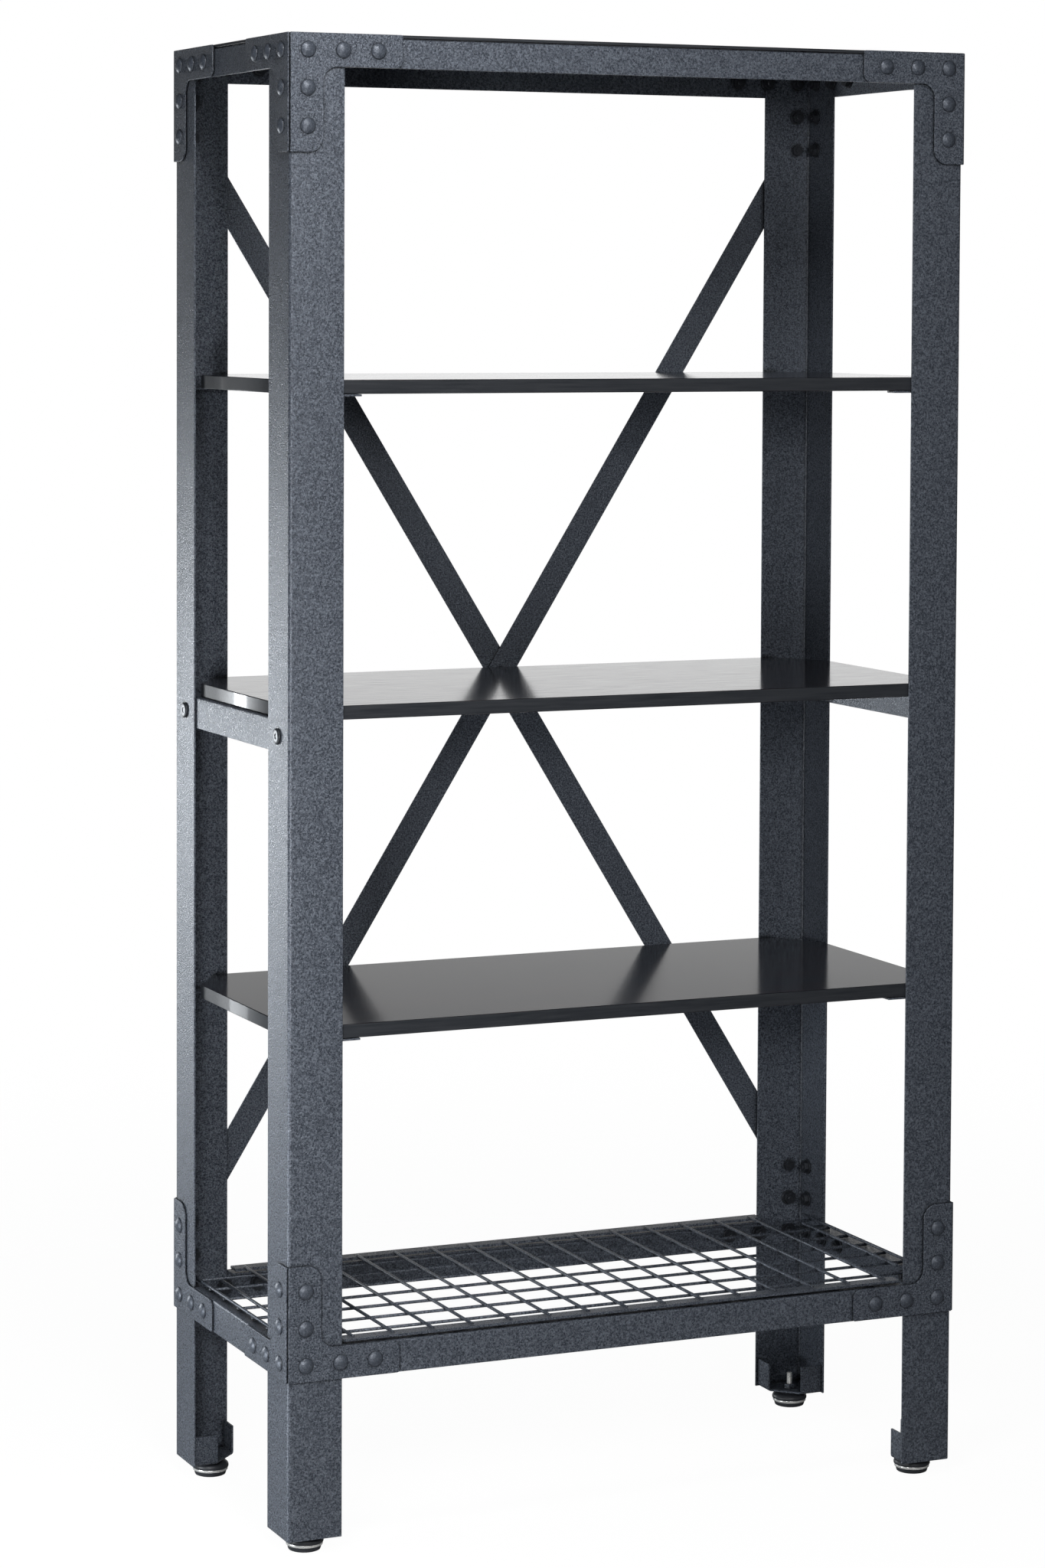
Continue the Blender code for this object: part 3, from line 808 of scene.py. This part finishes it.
def build_stud(name, centre):
    """An M8 stud with its thread cut as a helix and its end chamfered."""
    low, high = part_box(f"foot_stud_{name}")
    segments, per_turn = 20, 6
    rows = int((high.z - low.z) / THREAD_PITCH * per_turn)
    shape = bmesh.new()
    rings = []
    for row in range(rows + 1):
        z = low.z + (high.z - low.z) * row / rows
        ring = []
        for k in range(segments):
            phase = (z / THREAD_PITCH - k / segments) % 1.0
            depth = THREAD_DEPTH * (1 - abs(2 * phase - 1))
            ease = min(THREAD_CHAMFER, high.z - z) / THREAD_CHAMFER
            radius = (THREAD_RADIUS - depth) * (0.8 + 0.2 * ease)
            angle = math.tau * k / segments
            ring.append(shape.verts.new((radius * math.cos(angle), radius * math.sin(angle), z)))
        rings.append(ring)
    for lower, upper in zip(rings, rings[1:]):
        for k in range(segments):
            m = (k + 1) % segments
            shape.faces.new((lower[k], lower[m], upper[m], upper[k]))
    shape.faces.new(list(reversed(rings[0])))
    shape.faces.new(rings[-1])
    bmesh.ops.translate(shape, vec=centre, verts=shape.verts)
    piece(f"foot_stud_{name}_thread", shape, NICKEL, f"screw_{name}", [f"foot_stud_{name}"], sharp=50.0)


def build_feet():
    for name, side, face in CORNERS:
        centre = Vector((side * (WIDTH / 2 - FOOT_INSET), face * (DEPTH / 2 - FOOT_INSET), 0))
        build_bracket(name, side, face)
        build_pad(name, centre)
        build_stud(name, centre)


# ---------------------------------------------------------------- stage
EYE = (-2.1445, -4.6185, 1.5107)
HEADING = 23.3614
DIP = 2.9679
ROLL = 0.2104
LENS = 91.54
SENSOR = 36.0
SHIFT_X = 0.0403
SHIFT_Y = -0.1753

COOL = (0.93, 0.97, 1.0)
WALL_DIRECTION = (0.45, 0.89, 0.0)
ROOM_COLOUR = (0.026, 0.027, 0.030)
ROOM_STRENGTH = 1.3

FLOOR_RADIUS = 3.4
FLOOR_FADE_START = 0.9
FLOOR_FADE_END = 3.2
FLOOR_GLOW = 0.97
FLOOR_SHADOW = 0.05
FLOOR_BOUNCE = 0.36


def build_camera():
    """A long lens at eye height, to the left of the unit.

    Its angles are in degrees: to the right of +Y, down, and rolled to the left.
    """
    data = bpy.data.cameras.new("camera")
    data.sensor_width = SENSOR
    data.lens = LENS
    data.shift_x = SHIFT_X
    data.shift_y = SHIFT_Y
    data.clip_end = 60.0
    camera = bpy.data.objects.new("camera", data)
    bpy.context.scene.collection.objects.link(camera)
    turn = Matrix.Rotation(math.radians(-HEADING), 4, "Z")
    tilt = Matrix.Rotation(math.radians(90 - DIP), 4, "X")
    roll = Matrix.Rotation(math.radians(ROLL), 4, "Z")
    camera.matrix_world = Matrix.Translation(EYE) @ turn @ tilt @ roll
    bpy.context.scene.camera = camera


def softbox(name, at, towards, width, height, power, tint=(1.0, 1.0, 1.0)):
    """A rectangular lamp, in metres and watts, that the camera doesn't see."""
    data = bpy.data.lights.new(name, "AREA")
    data.shape = "RECTANGLE"
    data.size, data.size_y = width, height
    data.energy = power
    data.color = tint
    lamp = bpy.data.objects.new(name, data)
    bpy.context.scene.collection.objects.link(lamp)
    lamp.location = at
    lamp.rotation_euler = (Vector(towards) - Vector(at)).to_track_quat("-Z", "Y").to_euler()
    lamp.visible_camera = False


def build_lights():
    """Three lamps for the front, three that glance off the posts' left faces, and a weak one on the right."""
    softbox("key", (-0.60, -1.1, 2.45), (-0.25, 0.0, 1.3), 0.35, 0.4, 13.5)
    softbox("low_key", (-1.1, -1.2, 0.8), (-0.4, 0.0, 0.25), 0.35, 0.4, 11.0)
    softbox("front", (-0.7, -4.2, 2.1), (0.0, 0.0, 1.0), 0.8, 0.8, 42.0)
    softbox("side", (-1.75, 2.9, 0.67), (-0.45, 0.0, 1.0), 0.6, 0.30, 24.0, COOL)
    softbox("low_side", (-1.5, 2.5, 0.16), (-0.45, 0.0, 0.1), 0.8, 0.24, 4.0, COOL)
    softbox("ankles", (-1.5, 0.0, 0.14), (-0.45, 0.0, 0.14), 0.3, 0.2, 8.5, COOL)
    softbox("fill", (3.2, -3.0, 1.9), (0.0, 0.0, 1.0), 1.6, 1.6, 4.0)


def plain_tones():
    """Tones as they are, so that a white ground is white."""
    bpy.context.scene.view_settings.view_transform = "Standard"


def build_world():
    """White to the eye on all sides. It lights the unit as a dim room with a low bright wall behind it."""
    world = bpy.data.worlds.new("studio")
    bpy.context.scene.world = world
    n = Nodes(world)
    direction = n.coordinates["Generated"]
    behind = n.ramp(n.vector("DOT_PRODUCT", direction, WALL_DIRECTION), [(0.78, 0.0), (0.92, 1.0)])
    level = n.ramp(n.upright(direction), [(0.0, 1.0), (0.09, 0.84), (0.17, 0.22), (0.35, 0.06)])
    wall = n.vector("MULTIPLY", behind, level)
    room = n.add("ShaderNodeBackground")
    n.join(n.vector("ADD", wall, ROOM_COLOUR), room.inputs["Color"])
    room.inputs["Strength"].default_value = ROOM_STRENGTH
    white = n.tree.nodes["Background"]
    white.inputs["Color"].default_value = (1.0, 1.0, 1.0, 1.0)
    shown = n.blend(n.seen_directly(), room.outputs["Background"], white.outputs["Background"])
    n.join(shown, n.tree.nodes["World Output"].inputs["Surface"])


def floor_look():
    """Pale, and it fades into the white round it. From below it is clear.

    The eye sees it nearly white, but what it sends back to the unit is the light of a mid grey.
    """
    n = new_look("floor")
    n.tree.nodes.remove(n.tree.nodes["Principled BSDF"])
    fade = n.add("ShaderNodeMapRange", interpolation_type="SMOOTHSTEP")
    fade.inputs["From Min"].default_value = FLOOR_FADE_START
    fade.inputs["From Max"].default_value = FLOOR_FADE_END
    n.join(n.vector("LENGTH", n.place), fade.inputs["Value"])
    glow = n.add("ShaderNodeEmission")
    glow.inputs["Strength"].default_value = FLOOR_GLOW
    seen = n.add("ShaderNodeAddShader")
    n.join(n.diffuse(FLOOR_SHADOW), seen.inputs[0])
    n.join(glow.outputs["Emission"], seen.inputs[1])
    body = n.blend(n.seen_directly(), n.diffuse(FLOOR_BOUNCE), seen.outputs["Shader"])
    cover = n.add("ShaderNodeMath", operation="MAXIMUM")
    n.join(fade.outputs["Result"], cover.inputs[0])
    n.join(n.add("ShaderNodeNewGeometry").outputs["Backfacing"], cover.inputs[1])
    clear = n.add("ShaderNodeBsdfTransparent").outputs["BSDF"]
    n.join(n.blend(cover.outputs["Value"], body, clear), n.tree.nodes["Material Output"].inputs["Surface"])
    return n.owner


def build_floor():
    shape = bmesh.new()
    bmesh.ops.create_circle(shape, cap_ends=True, segments=96, radius=FLOOR_RADIUS)
    mesh = bpy.data.meshes.new("floor")
    shape.to_mesh(mesh)
    shape.free()
    mesh.materials.append(floor_look())
    floor = bpy.data.objects.new("floor", mesh)
    bpy.context.scene.collection.objects.link(floor)


build_camera()
build_posts()
build_rails()
build_panel()
build_beams()
build_plates()
build_boards()
build_braces()
build_bolts()
build_deck()
build_feet()
build_floor()
build_lights()
build_world()
plain_tones()
